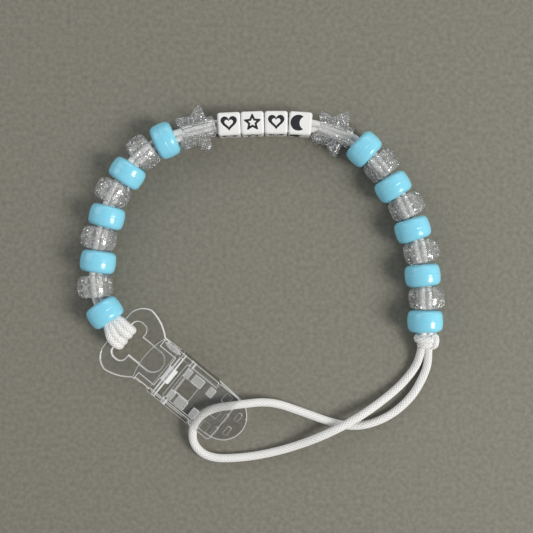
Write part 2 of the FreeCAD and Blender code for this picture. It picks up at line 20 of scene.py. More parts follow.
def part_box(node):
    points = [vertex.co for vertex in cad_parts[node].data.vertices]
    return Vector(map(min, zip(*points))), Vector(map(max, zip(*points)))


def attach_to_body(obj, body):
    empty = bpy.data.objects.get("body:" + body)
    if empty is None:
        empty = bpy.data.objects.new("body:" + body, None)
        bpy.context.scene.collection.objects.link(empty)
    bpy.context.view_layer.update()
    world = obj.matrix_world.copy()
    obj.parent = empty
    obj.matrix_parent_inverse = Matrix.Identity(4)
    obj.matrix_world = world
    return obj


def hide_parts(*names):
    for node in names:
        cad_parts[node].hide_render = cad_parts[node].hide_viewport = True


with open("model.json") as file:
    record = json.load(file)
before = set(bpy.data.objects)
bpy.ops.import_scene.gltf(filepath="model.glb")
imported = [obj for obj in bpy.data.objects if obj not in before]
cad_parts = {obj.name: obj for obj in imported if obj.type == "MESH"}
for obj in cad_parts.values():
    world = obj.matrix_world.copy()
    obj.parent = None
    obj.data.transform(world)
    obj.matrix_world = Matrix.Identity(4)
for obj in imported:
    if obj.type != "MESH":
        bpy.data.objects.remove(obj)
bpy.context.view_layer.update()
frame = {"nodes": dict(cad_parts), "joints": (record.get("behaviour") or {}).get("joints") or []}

joints = {joint["name"]: joint for joint in frame["joints"]}

# %% [markdown]
# ## Camera, floor and light
#
# The strap is small, so the camera looks straight down from about a forearm's
# length, with a lens long enough to keep the bead sides nearly hidden. A wide
# soft light on the right gives each bead one round highlight; the others fill.
# Clear plastic shows only what it bends and mirrors, so the lamps are large
# plain panels. Caustics are off: they take long to settle, and clear pieces let
# light through to their shadows instead.

# %% Camera
MM = 0.001
CAMERA_HEIGHT = 240 * MM
HALF_VIEW = 67.13 * MM
BEAD_MIDDLE_HEIGHT = 4.5 * MM
SENSOR = 36

camera_data = bpy.data.cameras.new("camera")
camera_data.sensor_width = SENSOR
camera_data.lens = SENSOR / 2 * (CAMERA_HEIGHT - BEAD_MIDDLE_HEIGHT) / HALF_VIEW
camera_data.clip_start = 5 * MM
camera = bpy.data.objects.new("camera", camera_data)
camera.location = (1.4 * MM, 2.0 * MM, CAMERA_HEIGHT)
bpy.context.scene.collection.objects.link(camera)
bpy.context.scene.camera = camera


# %% Soft lights and a pale room
def soft_panel(name, place, width, height, watts, colour=(1, 1, 1)):
    """A plain panel that faces the middle of the strap."""
    lamp = bpy.data.lights.new(name, "AREA")
    lamp.shape = "RECTANGLE"
    lamp.size = width
    lamp.size_y = height
    lamp.energy = watts
    lamp.color = colour
    panel = bpy.data.objects.new(name, lamp)
    panel.location = place
    panel.rotation_euler = (-Vector(place)).to_track_quat("-Z", "Y").to_euler()
    bpy.context.scene.collection.objects.link(panel)


soft_panel("window_light", (0.62, -0.22, 0.62), 0.34, 0.34, 6.5, (1.0, 0.985, 0.96))
soft_panel("fill_light", (-0.6, 0.35, 0.4), 0.5, 0.5, 1.2, (0.95, 0.98, 1.0))
soft_panel("side_light", (0.1, 0.62, 0.3), 0.6, 0.2, 0.9)

room = bpy.data.worlds.new("pale_room")
room.use_nodes = True
sky = room.node_tree
backdrop = sky.nodes["Background"]
backdrop.inputs["Strength"].default_value = 0.55
facing = sky.nodes.new("ShaderNodeTexCoord")
upright = sky.nodes.new("ShaderNodeSeparateXYZ")
sky.links.new(facing.outputs["Generated"], upright.inputs[0])
shades = sky.nodes.new("ShaderNodeValToRGB")
shades.color_ramp.elements[0].position = 0.25
shades.color_ramp.elements[0].color = (1.0, 1.0, 1.0, 1)
shades.color_ramp.elements[1].position = 0.85
shades.color_ramp.elements[1].color = (0.42, 0.44, 0.48, 1)
sky.links.new(upright.outputs["Z"], shades.inputs["Fac"])
sky.links.new(shades.outputs["Color"], backdrop.inputs["Color"])
bpy.context.scene.world = room
bpy.context.scene.view_settings.view_transform = "Standard"
bpy.context.scene.cycles.caustics_refractive = False
bpy.context.scene.cycles.caustics_reflective = False

# %% [markdown]
# ## Shader groups that several finishes share
#
# Moulded plastic is never one flat colour: the dye drifts a little, and the
# skin has a fine grain from the mould. Cord is braided, so its ribs run round
# it both ways, with painted shade in the grooves between them. Each effect is
# one node group with named inputs, and every material that needs it places
# the group with values of its own.


# %% Helpers for node groups
def new_group(name, inputs, outputs):
    group = bpy.data.node_groups.new(name, "ShaderNodeTree")
    for label, kind, value in inputs:
        socket = group.interface.new_socket(label, in_out="INPUT", socket_type=kind)
        socket.default_value = value
    for label, kind in outputs:
        group.interface.new_socket(label, in_out="OUTPUT", socket_type=kind)
    return group, group.nodes.new("NodeGroupInput"), group.nodes.new("NodeGroupOutput")


def maths(tree, operation, first, second=0.0, third=0.0):
    """One Math node. Each operand is a socket or a plain number."""
    node = tree.nodes.new("ShaderNodeMath")
    node.operation = operation
    for socket, value in zip(node.inputs, (first, second, third)):
        if isinstance(value, (int, float)):
            socket.default_value = value
        else:
            tree.links.new(value, socket)
    return node.outputs[0]


def noise(tree, vector, scale, detail=2.0):
    node = tree.nodes.new("ShaderNodeTexNoise")
    node.inputs["Detail"].default_value = detail
    tree.links.new(vector, node.inputs["Vector"])
    if isinstance(scale, (int, float)):
        node.inputs["Scale"].default_value = scale
    else:
        tree.links.new(scale, node.inputs["Scale"])
    return node.outputs["Fac"]


def blend_colours(tree, share, first, second):
    node = tree.nodes.new("ShaderNodeMix")
    node.data_type = "RGBA"
    tree.links.new(share, node.inputs["Factor"])
    tree.links.new(first, node.inputs[6])
    tree.links.new(second, node.inputs[7])
    return node.outputs[2]


# %% Moulded skin: drifting dye, uneven gloss and a fine grain
NUMBER, COLOUR = "NodeSocketFloat", "NodeSocketColor"
skin, skin_in, skin_out = new_group(
    "moulded_skin",
    [
        ("Colour", COLOUR, (1, 1, 1, 1)),
        ("Drift Colour", COLOUR, (0.8, 0.8, 0.8, 1)),
        ("Drift Size", NUMBER, 300.0),
        ("Grain Size", NUMBER, 5000.0),
        ("Gloss", NUMBER, 0.25),
        ("Gloss Change", NUMBER, 0.2),
    ],
    [("Colour", COLOUR), ("Roughness", NUMBER), ("Height", NUMBER)],
)
skin_place = skin.nodes.new("ShaderNodeTexCoord").outputs["Object"]
drift = noise(skin, skin_place, skin_in.outputs["Drift Size"])
grain = noise(skin, skin_place, skin_in.outputs["Grain Size"], detail=3.0)
skin.links.new(
    blend_colours(
        skin, drift, skin_in.outputs["Colour"], skin_in.outputs["Drift Colour"]
    ),
    skin_out.inputs["Colour"],
)
uneven = maths(skin, "SUBTRACT", drift, 0.5)
skin.links.new(
    maths(
        skin, "MULTIPLY_ADD", uneven, skin_in.outputs["Gloss Change"],
        skin_in.outputs["Gloss"],
    ),
    skin_out.inputs["Roughness"],
)
skin.links.new(grain, skin_out.inputs["Height"])

# %% Satin braid: two sets of ribs that cross as they wind round the cord, with painted shade in the grooves
braid, braid_in, braid_out = new_group(
    "satin_braid",
    [
        ("Colour", COLOUR, (1, 1, 1, 1)),
        ("Painted Groove Shade", COLOUR, (0.7, 0.7, 0.7, 1)),
        ("Ribs", NUMBER, 12.0),
        ("Rib Pitch", NUMBER, 2.4),
        ("Fibre Size", NUMBER, 9000.0),
    ],
    [("Colour", COLOUR), ("Roughness", NUMBER), ("Height", NUMBER)],
)
unwrapped = braid.nodes.new("ShaderNodeUVMap")
unwrapped.uv_map = "UVMap"
split = braid.nodes.new("ShaderNodeSeparateXYZ")
braid.links.new(unwrapped.outputs["UV"], split.inputs[0])
along_turns = maths(
    braid, "DIVIDE", split.outputs["X"], braid_in.outputs["Rib Pitch"]
)
round_turns = split.outputs["Y"]
waves = []
for way in ("ADD", "SUBTRACT"):
    phase = maths(braid, way, round_turns, along_turns)
    angle = maths(braid, "MULTIPLY", phase, braid_in.outputs["Ribs"])
    angle = maths(braid, "MULTIPLY", angle, 2 * math.pi)
    waves.append(maths(braid, "SINE", angle))
ribs = maths(braid, "MAXIMUM", *waves)
braid_place = braid.nodes.new("ShaderNodeTexCoord").outputs["Object"]
fibres = noise(braid, braid_place, braid_in.outputs["Fibre Size"], detail=3.0)
rib_height = maths(braid, "MULTIPLY_ADD", ribs, 0.5, 0.5)
# Between the ribs the colour darkens: painted shade in the grooves.
braid.links.new(
    blend_colours(
        braid, rib_height, braid_in.outputs["Painted Groove Shade"],
        braid_in.outputs["Colour"],
    ),
    braid_out.inputs["Colour"],
)
braid.links.new(
    maths(braid, "MULTIPLY_ADD", fibres, 0.3, 0.35), braid_out.inputs["Roughness"]
)
braid.links.new(
    maths(braid, "MULTIPLY_ADD", fibres, 0.35, rib_height),
    braid_out.inputs["Height"],
)
print("shader groups:", [group.name for group in bpy.data.node_groups])

# %% [markdown]
# ## Finishes
#
# A finish is a Principled shader with its steady values set on the shader's own
# sockets, and one of the groups feeding colour, roughness and bump. The clear
# plastics let light straight through to their own shadows, because a lamp's
# light would otherwise stop at the first clear surface.
#
# Real clear plastic also gathers light and lets it out at its rims, which look
# white. Tracing that takes very many light paths, so the rims of the clip get
# a painted highlight: a whiter, less clear finish of their own. Its raised pads
# are frosted, and painted whiter in the same way.


# %% A finish from a shader group
def finish_with(name, group, settings, bump_depth, sockets, clear=False):
    """A material whose Principled shader reads a group's colour, roughness and
    height. Sockets holds the shader's own steady values."""
    material = bpy.data.materials.new(name)
    material.use_nodes = True
    tree = material.node_tree
    shader = tree.nodes["Principled BSDF"]
    placed = tree.nodes.new("ShaderNodeGroup")
    placed.node_tree = group
    for label, value in settings.items():
        placed.inputs[label].default_value = value
    for label, value in sockets.items():
        shader.inputs[label].default_value = value
    tree.links.new(placed.outputs["Colour"], shader.inputs["Base Color"])
    tree.links.new(placed.outputs["Roughness"], shader.inputs["Roughness"])
    bump = tree.nodes.new("ShaderNodeBump")
    bump.inputs["Strength"].default_value = 1.0
    bump.inputs["Distance"].default_value = bump_depth * MM
    tree.links.new(placed.outputs["Height"], bump.inputs["Height"])
    tree.links.new(bump.outputs["Normal"], shader.inputs["Normal"])
    if clear:
        through = tree.nodes.new("ShaderNodeBsdfTransparent")
        through.inputs["Color"].default_value = (0.985, 0.985, 0.985, 1)
        path = tree.nodes.new("ShaderNodeLightPath")
        choose = tree.nodes.new("ShaderNodeMixShader")
        tree.links.new(path.outputs["Is Shadow Ray"], choose.inputs["Fac"])
        tree.links.new(shader.outputs[0], choose.inputs[1])
        tree.links.new(through.outputs[0], choose.inputs[2])
        tree.links.new(
            choose.outputs[0], tree.nodes["Material Output"].inputs["Surface"]
        )
    return material


# %% Bead and print finishes
blue_plastic = finish_with(
    "blue_plastic", skin,
    {
        "Colour": (0.27, 0.71, 0.87, 1), "Drift Colour": (0.22, 0.62, 0.79, 1),
        "Drift Size": 260.0, "Grain Size": 3200.0, "Gloss": 0.2, "Gloss Change": 0.16,
    },
    0.012,
    {
        "IOR": 1.5, "Coat Weight": 0.25, "Coat Roughness": 0.08,
        "Subsurface Weight": 0.12, "Subsurface Scale": 0.8 * MM,
        "Subsurface Radius": (0.4, 0.8, 1.0),
    },
)
white_plastic = finish_with(
    "white_plastic", skin,
    {
        "Colour": (0.86, 0.85, 0.83, 1), "Drift Colour": (0.80, 0.79, 0.765, 1),
        "Drift Size": 300.0, "Grain Size": 3000.0, "Gloss": 0.28, "Gloss Change": 0.2,
    },
    0.010,
    {
        "IOR": 1.5, "Subsurface Weight": 0.15, "Subsurface Scale": 0.3 * MM,
        "Subsurface Radius": (1.0, 0.9, 0.8),
    },
)
black_print = finish_with(
    "black_print", skin,
    {
        "Colour": (0.012, 0.012, 0.013, 1), "Drift Colour": (0.03, 0.03, 0.032, 1),
        "Drift Size": 1500.0, "Grain Size": 6000.0, "Gloss": 0.45, "Gloss Change": 0.3,
    },
    0.015,
    {"IOR": 1.45},
)

# %% Clear finishes and glitter
glitter_plastic = finish_with(
    "glitter_plastic", skin,
    {
        "Colour": (0.97, 0.98, 0.98, 1), "Drift Colour": (0.93, 0.95, 0.95, 1),
        "Drift Size": 400.0, "Grain Size": 1400.0, "Gloss": 0.035,
        "Gloss Change": 0.05,
    },
    0.012,
    {"IOR": 1.49, "Transmission Weight": 0.93},
    clear=True,
)
clear_plastic = finish_with(
    "clear_plastic", skin,
    {
        "Colour": (0.98, 0.985, 0.98, 1), "Drift Colour": (0.955, 0.965, 0.96, 1),
        "Drift Size": 160.0, "Grain Size": 700.0, "Gloss": 0.02, "Gloss Change": 0.03,
    },
    0.008,
    {"IOR": 1.5, "Transmission Weight": 1.0},
    clear=True,
)
# Clip rims: a painted highlight, a whiter and less clear finish that stands in for the light
# clear plastic gathers at its edges.
clear_edge = finish_with(
    "clear_edge", skin,
    {
        "Colour": (0.98, 0.98, 0.97, 1), "Drift Colour": (0.80, 0.81, 0.80, 1),
        "Drift Size": 900.0, "Grain Size": 1800.0, "Gloss": 0.22, "Gloss Change": 0.2,
    },
    0.02,
    {"IOR": 1.5, "Transmission Weight": 0.25},
    clear=True,
)
# Raised pads: rough like real frosting, and also painted whiter and less clear, standing in for
# the light they gather.
frosted_pad = finish_with(
    "frosted_pad", skin,
    {
        "Colour": (0.97, 0.975, 0.97, 1), "Drift Colour": (0.86, 0.87, 0.86, 1),
        "Drift Size": 900.0, "Grain Size": 1600.0, "Gloss": 0.3, "Gloss Change": 0.25,
    },
    0.04,
    {"IOR": 1.5, "Transmission Weight": 0.72},
    clear=True,
)
silver_flake = finish_with(
    "silver_flake", skin,
    {
        "Colour": (0.96, 0.96, 0.95, 1), "Drift Colour": (0.55, 0.56, 0.57, 1),
        "Drift Size": 2600.0, "Grain Size": 9000.0, "Gloss": 0.3, "Gloss Change": 0.5,
    },
    0.004,
    {"Metallic": 0.7},
)

# %% Cord finishes
RIBS = 8
RIB_PITCH = 7.5

# The darker groove colour is painted shade between the cord's ribs.
satin_cord = finish_with(
    "satin_cord", braid,
    {
        "Colour": (0.90, 0.89, 0.865, 1), "Painted Groove Shade": (0.60, 0.59, 0.565, 1),
        "Ribs": float(RIBS), "Rib Pitch": RIB_PITCH, "Fibre Size": 5000.0,
    },
    0.06,
    {"Sheen Weight": 0.35, "Sheen Roughness": 0.35, "Specular IOR Level": 0.4},
)
cord_core = finish_with(
    "cord_core", skin,
    {
        "Colour": (0.95, 0.945, 0.93, 1), "Drift Colour": (0.86, 0.85, 0.83, 1),
        "Drift Size": 2500.0, "Grain Size": 6000.0, "Gloss": 0.5, "Gloss Change": 0.2,
    },
    0.06,
    {"Sheen Weight": 0.3},
)
table_top = finish_with(
    "table_top", skin,
    {
        "Colour": (0.275, 0.263, 0.212, 1), "Drift Colour": (0.135, 0.129, 0.103, 1),
        "Drift Size": 900.0, "Grain Size": 2600.0, "Gloss": 0.62, "Gloss Change": 0.1,
    },
    0.08,
    {"Specular IOR Level": 0.3},
)
print("finishes:", len(bpy.data.materials))

# %% [markdown]
# ## Forms: turned, moulded and wound
#
# Nearly all of the strap is one of three forms. A barrel bead is a profile
# turned about its hole. A star, a cube's print or a clip plate is a flat
# outline with rounded edges, which a filled 2D curve gives in one step. A cord
# is a ring swept along a path. Forms are drawn in millimetres and scaled once,
# because mesh operations are safer on numbers near one.


# %% Put a mesh into the scene
def to_scene(name, mesh, seat=None):
    """A mesh drawn in millimetres becomes an object at its seat, in metres."""
    mesh.transform(Matrix.Scale(MM, 4))
    piece = bpy.data.objects.new(name, mesh)
    piece.matrix_world = seat or Matrix()
    bpy.context.scene.collection.objects.link(piece)
    return piece


def give_finish(piece, *materials):
    piece.data.materials.clear()
    for material in materials:
        piece.data.materials.append(material)


def smooth_form(mesh, sharp_over=35):
    mesh.shade_smooth()
    mesh.set_sharp_from_angle(angle=math.radians(sharp_over))


def attach(piece, body, slot, *nodes):
    """The piece rides on a body; it may stand for solid nodes, which it hides.
    The slot is not used."""
    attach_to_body(piece, body)
    if nodes:
        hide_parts(*nodes)
    return piece


# %% Arcs and rounded corners for outlines
def arc(start, end, radius, steps=10):
    """Points from start to end on an arc that bulges to the left of the way."""
    a, b = Vector(start), Vector(end)
    chord = b - a
    height = math.sqrt(max(radius**2 - (chord.length / 2) ** 2, 0))
    aside = Vector((chord.y, -chord.x)).normalized()
    centre = (a + b) / 2 + aside * height
    first, last = a - centre, b - centre
    sweep = first.angle_signed(last)
    if sweep < 0:
        sweep += 2 * math.pi
    points = []
    for step in range(1, steps + 1):
        turn = -sweep * step / steps
        x = first.x * math.cos(turn) - first.y * math.sin(turn)
        y = first.x * math.sin(turn) + first.y * math.cos(turn)
        points.append((centre.x + x, centre.y + y))
    return points


def bulged(corners, steps=12):
    """An outline through corners; a third number bulges the run that ends
    there to the left of a clockwise way round."""
    points = []
    for here, there in zip(corners, corners[1:] + corners[:1]):
        if len(there) == 3:
            points += arc(here[:2], there[:2], there[2], steps)
        else:
            points.append(tuple(there[:2]))
    return points


def rounded(corners, steps=6):
    """An outline whose corners are rounded to the radius given as the third
    number of each."""
    points = []
    count = len(corners)
    for i, (x, y, radius) in enumerate(corners):
        here = Vector((x, y))
        before = (Vector(corners[i - 1][:2]) - here).normalized()
        after = (Vector(corners[(i + 1) % count][:2]) - here).normalized()
        opening = before.angle(after)
        reach = radius / math.tan(opening / 2)
        centre = here + (before + after).normalized() * radius / math.sin(opening / 2)
        first, last = here + before * reach - centre, here + after * reach - centre
        turn = first.angle_signed(last)
        for step in range(steps + 1):
            angle = -turn * step / steps
            points.append((
                centre.x + first.x * math.cos(angle) - first.y * math.sin(angle),
                centre.y + first.x * math.sin(angle) + first.y * math.cos(angle),
            ))
    return points


# %% A profile turned about X
def turned(name, profile, steps=112):
    form = bmesh.new()
    rings = []
    for along, radius in profile:
        ring = []
        for step in range(steps):
            angle = 2 * math.pi * step / steps
            spot = (along, radius * math.cos(angle), radius * math.sin(angle))
            ring.append(form.verts.new(spot))
        rings.append(ring)
    for ring, after in zip(rings, rings[1:] + rings[:1]):
        for k in range(steps):
            j = (k + 1) % steps
            form.faces.new((ring[k], ring[j], after[j], after[k]))
    bmesh.ops.remove_doubles(form, verts=form.verts, dist=1e-4)
    bmesh.ops.recalc_face_normals(form, faces=form.faces)
    mesh = bpy.data.meshes.new(name)
    form.to_mesh(mesh)
    form.free()
    return mesh


# %% A flat plate with rounded edges
def plate(name, outlines, low, high, edge=0.2, rings=3):
    """The first outline is the rim and the others are holes through it."""
    curve = bpy.data.curves.new(name, "CURVE")
    curve.dimensions = "2D"
    curve.fill_mode = "BOTH"
    curve.extrude = (high - low) / 2 - edge
    curve.bevel_depth = edge
    curve.bevel_resolution = rings
    curve.offset = -edge
    for outline in outlines:
        spline = curve.splines.new("POLY")
        spline.points.add(len(outline) - 1)
        spline.use_cyclic_u = True
        for point, (x, y) in zip(spline.points, outline):
            point.co = (x, y, 0, 1)
    holder = bpy.data.objects.new(name, curve)
    bpy.context.scene.collection.objects.link(holder)
    graph = bpy.context.evaluated_depsgraph_get()
    mesh = bpy.data.meshes.new_from_object(holder.evaluated_get(graph))
    bpy.data.objects.remove(holder)
    form = bmesh.new()
    form.from_mesh(mesh)
    bmesh.ops.remove_doubles(form, verts=form.verts, dist=2e-4)
    bmesh.ops.recalc_face_normals(form, faces=form.faces)
    form.to_mesh(mesh)
    form.free()
    mesh.transform(Matrix.Translation((0, 0, (low + high) / 2)))
    return mesh


# %% Join solids or cut them from each other
def carved(name, first, others, operation="UNION"):
    """One mesh from a first mesh and the others joined to it or cut away."""
    holders = []
    for mesh in [first, *others]:
        holder = bpy.data.objects.new(mesh.name, mesh)
        bpy.context.scene.collection.objects.link(holder)
        holders.append(holder)
    for holder in holders[1:]:
        step = holders[0].modifiers.new(holder.name, "BOOLEAN")
        step.operation = operation
        step.solver = "EXACT"
        step.object = holder
    graph = bpy.context.evaluated_depsgraph_get()
    made = bpy.data.meshes.new_from_object(holders[0].evaluated_get(graph))
    made.name = name
    for holder in holders:
        bpy.data.objects.remove(holder)
    return made


# %% A ring swept along a path
RIB_RELIEF = 0.05
RIB_MIDDLE = 0.4


def swept(name, path, radius, sides=40, relief=RIB_RELIEF, ribs=RIBS, pitch=RIB_PITCH,
          closed=False):
    """A round cord along points in millimetres, with its ribs raised from the
    surface. Its UVs are millimetres along and turns round."""
    form = bmesh.new()
    layer = form.loops.layers.uv.new("UVMap")
    count = len(path)
    run = 0.0
    side = (path[1] - path[0]).orthogonal()
    rings = []
    for i, point in enumerate(path):
        before = path[i - 1] if i or closed else point
        after = path[(i + 1) % count] if i + 1 < count or closed else point
        way = (after - before).normalized()
        side = (side - way * side.dot(way)).normalized()
        up = way.cross(side)
        if i:
            run += (point - path[i - 1]).length
        ring = []
        for k in range(sides):
            turn = k / sides
            raised = max(
                math.sin(2 * math.pi * ribs * (turn + run / pitch)),
                math.sin(2 * math.pi * ribs * (turn - run / pitch)),
            )
            reach = radius + relief * (raised - RIB_MIDDLE)
            angle = 2 * math.pi * turn
            spot = point + (side * math.cos(angle) + up * math.sin(angle)) * reach
            ring.append(form.verts.new(spot))
        rings.append((ring, run))
    pairs = list(zip(rings, rings[1:]))
    if closed:
        step = (path[0] - path[-1]).length
        pairs.append((rings[-1], (rings[0][0], run + step)))
    for (ring, start), (later, end) in pairs:
        for k in range(sides):
            j = (k + 1) % sides
            face = form.faces.new((ring[k], ring[j], later[j], later[k]))
            spots = [
                (start, k / sides), (start, (k + 1) / sides),
                (end, (k + 1) / sides), (end, k / sides),
            ]
            for corner, spot in zip(face.loops, spots):
                corner[layer].uv = spot
    if not closed:
        form.faces.new(reversed(rings[0][0]))
        form.faces.new(rings[-1][0])
    bmesh.ops.recalc_face_normals(form, faces=form.faces)
    mesh = bpy.data.meshes.new(name)
    form.to_mesh(mesh)
    form.free()
    mesh.shade_smooth()
    return mesh


def smooth_line(points, fineness=24):
    """Points along one smooth NURBS line drawn by its control points."""
    curve = bpy.data.curves.new("line", "CURVE")
    curve.dimensions = "3D"
    curve.resolution_u = fineness
    spline = curve.splines.new("NURBS")
    spline.points.add(len(points) - 1)
    for control, place in zip(spline.points, points):
        control.co = (*place, 1)
    spline.order_u = 3
    spline.use_endpoint_u = True
    holder = bpy.data.objects.new("line", curve)
    bpy.context.scene.collection.objects.link(holder)
    graph = bpy.context.evaluated_depsgraph_get()
    line = bpy.data.meshes.new_from_object(holder.evaluated_get(graph))
    found = [vertex.co.copy() for vertex in line.vertices]
    bpy.data.objects.remove(holder)
    bpy.data.meshes.remove(line)
    return found


# %% [markdown]
# ## The loop of cord
#
# Two ends of the satin cord leave the knot, cross, and meet in a long loop that
# lies through the clip's jaws. It is a free cord, so it is one smooth NURBS
# line through the air above the table, and the ring that is swept along it
# carries the braid's ribs as real relief.

# %% The loop's route and its cord
LOOP_ROUTE = [
    (0.0408, -0.0183, 0.0028),
    (0.0405, -0.0214, 0.0014),
    (0.0386, -0.0250, 0.00104),
    (0.0350, -0.0290, 0.0012),
    (0.0298, -0.0330, 0.0020),
    (0.0238, -0.0368, 0.00345),
    (0.0166, -0.0405, 0.00345),
    (0.0097, -0.0435, 0.0017),
    (0.0028, -0.0456, 0.00104),
    (-0.0049, -0.0469, 0.00104),
    (-0.0132, -0.0470, 0.0013),
    (-0.0175, -0.0432, 0.0023),
    (-0.0172, -0.0376, 0.0030),
    (-0.0130, -0.0339, 0.00295),
    (-0.0057, -0.0330, 0.0030),
    (0.0024, -0.0322, 0.0022),
    (0.0107, -0.0352, 0.00104),
    (0.0188, -0.0382, 0.00104),
    (0.0254, -0.0390, 0.00104),
    (0.0326, -0.0365, 0.00104),
    (0.0384, -0.0316, 0.00104),
    (0.0415, -0.0262, 0.00104),
    (0.0428, -0.0221, 0.0013),
    (0.0424, -0.0184, 0.0028),
]
CORD_DIAMETER = 2.07
LOOP_RELIEF = 0.06

loop_line = smooth_line([Vector(point) / MM for point in LOOP_ROUTE], fineness=64)
loop_mesh = swept(
    "loop_of_cord", loop_line, CORD_DIAMETER / 2 - LOOP_RELIEF / 2,
    sides=64, relief=LOOP_RELIEF,
)
loop_length = sum((b - a).length for a, b in zip(loop_line, loop_line[1:]))
loop = to_scene("loop_of_cord", loop_mesh)
give_finish(loop, satin_cord)
attach(loop, "strap", "white_cord", "loop_cord")
print(f"loop: {loop_length:.1f} mm of cord in {len(loop_line)} rings")

# %% [markdown]
# ## Barrel beads
#
# A barrel bead is moulded in two halves, so a hair-thin line runs round its
# middle. Its side is slightly crowned and its shoulders are round. All of that
# is in one profile, turned about the hole. Each bead's own joint says where
# it sits and which way its hole runs.


# %% Where a bead sits
def bead_seat(name, turn=0.0):
    """X along the hole, Z up; turn spins the bead about its hole."""
    joint = joints[name + "_spin"]
    along = Vector(joint["axis"]).normalized()
    across = Vector((0, 0, 1)).cross(along).normalized()
    facing = Matrix((along, across, along.cross(across))).transposed().to_4x4()
    spin = Matrix.Rotation(turn, 4, "X")
    return Matrix.Translation(Vector(joint["pos_m"])) @ facing @ spin


# %% The barrel's profile
BARREL_HALF = 2.8
BARREL_RADIUS = 4.5
BARREL_BORE = 2.2
BARREL_RIM = 0.25
SHOULDER_FACE = 2.9
SHOULDER_SIDE = 1.55
SHOULDER_TOP = 4.36
SHOULDER_ROUND = 1.45
PARTING_HALF = 0.07
PARTING_RISE = 0.035

crown_round = (SHOULDER_SIDE**2 + (BARREL_RADIUS - SHOULDER_TOP) ** 2) / (
    2 * (BARREL_RADIUS - SHOULDER_TOP)
)
barrel_left = [(-BARREL_HALF + BARREL_RIM, BARREL_BORE)]
barrel_left += arc(barrel_left[0], (-BARREL_HALF, BARREL_BORE + BARREL_RIM), BARREL_RIM, 4)
barrel_left.append((-BARREL_HALF, SHOULDER_FACE))
barrel_left += arc(
    barrel_left[-1], (-SHOULDER_SIDE, SHOULDER_TOP), SHOULDER_ROUND, 10
)
barrel_left += arc(
    barrel_left[-1], (-PARTING_HALF, BARREL_RADIUS), crown_round, 8
)
barrel_left.append((-PARTING_HALF / 3, BARREL_RADIUS + PARTING_RISE))
barrel_profile = barrel_left + [(-x, r) for x, r in reversed(barrel_left)]

BLUE_BEADS = [f"blue_bead_{number}" for number in range(1, 11)]
CLEAR_BEADS = [f"clear_bead_{number}" for number in range(1, 9)]
draw = random.Random(4)
for name in BLUE_BEADS:
    barrel = turned(name + "_barrel", barrel_profile)
    smooth_form(barrel, 50)
    bead = to_scene(name + "_barrel", barrel, bead_seat(name, draw.uniform(0, 6.28)))
    give_finish(bead, blue_plastic)
    attach(bead, name, "blue_plastic", name)
print("barrel profile points:", len(barrel_profile))

# %% [markdown]
# ## Clear glitter beads
#
# The clear beads share the barrel's profile, and the glitter is real: hundreds
# of six-sided foil flakes, each at its own angle, inside the wall. The clear
# plastic bends the light round the cord in the hole, so the flakes over it
# look dense and silvery and the rims stay clear.


# %% Foil flakes
def glitter_flakes(name, reach, inside, count, seed):
    """Six-sided flakes at random angles where inside(x, y, z) allows."""
    pick = random.Random(seed)
    form = bmesh.new()
    made = 0
    while made < count:
        spot = Vector([pick.uniform(-limit, limit) for limit in reach])
        if not inside(*spot):
            continue
        facing = Vector([pick.gauss(0, 1) for _ in range(3)]).normalized()
        first = facing.orthogonal().normalized()
        second = facing.cross(first)
        size = pick.choice((0.06, 0.08, 0.1, 0.13, 0.16))
        corners = []
        for corner in range(6):
            angle = math.pi / 3 * corner
            edge = first * math.cos(angle) + second * math.sin(angle)
            corners.append(form.verts.new(spot + edge * size))
        form.faces.new(corners)
        made += 1
    mesh = bpy.data.meshes.new(name)
    form.to_mesh(mesh)
    form.free()
    return mesh


def in_barrel_wall(x, y, z):
    radius = math.hypot(y, z)
    outer = BARREL_RADIUS - 0.3 - 0.8 * max(abs(x) - 1.2, 0)
    return BARREL_BORE + 0.12 < radius < outer and abs(x) < BARREL_HALF - 0.15


BARREL_FLAKES = 1300
draw = random.Random(11)
for number, name in enumerate(CLEAR_BEADS):
    seat = bead_seat(name, draw.uniform(0, 6.28))
    barrel = turned(name + "_barrel", barrel_profile)
    smooth_form(barrel, 50)
    bead = to_scene(name + "_barrel", barrel, seat)
    give_finish(bead, glitter_plastic)
    attach(bead, name, "clear_glitter", name)
    flakes = glitter_flakes(
        name + "_glitter", (BARREL_HALF, BARREL_RADIUS, BARREL_RADIUS),
        in_barrel_wall, BARREL_FLAKES, number,
    )
    glitter = to_scene(name + "_glitter", flakes, seat)
    give_finish(glitter, silver_flake)
    attach(glitter, name, "clear_glitter")

# %% [markdown]
# ## Star beads
#
# The stars lie flat, with the hole from one cut-off point to the valley
# opposite. A rounded outline gives the slab, a turned rod cuts the hole, and
# the glitter keeps clear of it.

# %% Star outline, hole and glitter
STAR_TIP = 6.8
STAR_VALLEY = 3.6
STAR_HALF = 3.0
STAR_HOLE = 1.95
ARM_REACH = 4.6
ARM_HALF = 2.45
HOLE_REACH = 9.0

star_corners = [(ARM_REACH, ARM_HALF, 0.45), (ARM_REACH, -ARM_HALF, 0.45)]
for step in range(9, 0, -1):
    reach, corner = (STAR_VALLEY, 0.5) if step % 2 else (STAR_TIP, 0.8)
    angle = math.radians(36 * step)
    star_corners.append((reach * math.cos(angle), reach * math.sin(angle), corner))
star_outline = rounded(star_corners)


def rod(name, radius, start, end, across=0.0, rise=0.0):
    """A plain rod along X, for cutting holes."""
    form = turned(name, [(start, 0.0), (start, radius), (end, radius), (end, 0.0)], 64)
    form.transform(Matrix.Translation((0, across, rise)))
    return form


def in_star(x, y, z):
    radius, angle = math.hypot(x, y), math.degrees(math.atan2(y, x)) % 72
    share = abs(angle - 36) / 36
    edge = (STAR_VALLEY + (STAR_TIP - 0.9 - STAR_VALLEY) * share) * 0.9
    if x > 0 and abs(y) < ARM_HALF:
        edge = min(edge, ARM_REACH - 0.3)
    clear_of_hole = math.hypot(y, z) > STAR_HOLE + 0.12
    return radius < edge and clear_of_hole and abs(z) < STAR_HALF - 0.25


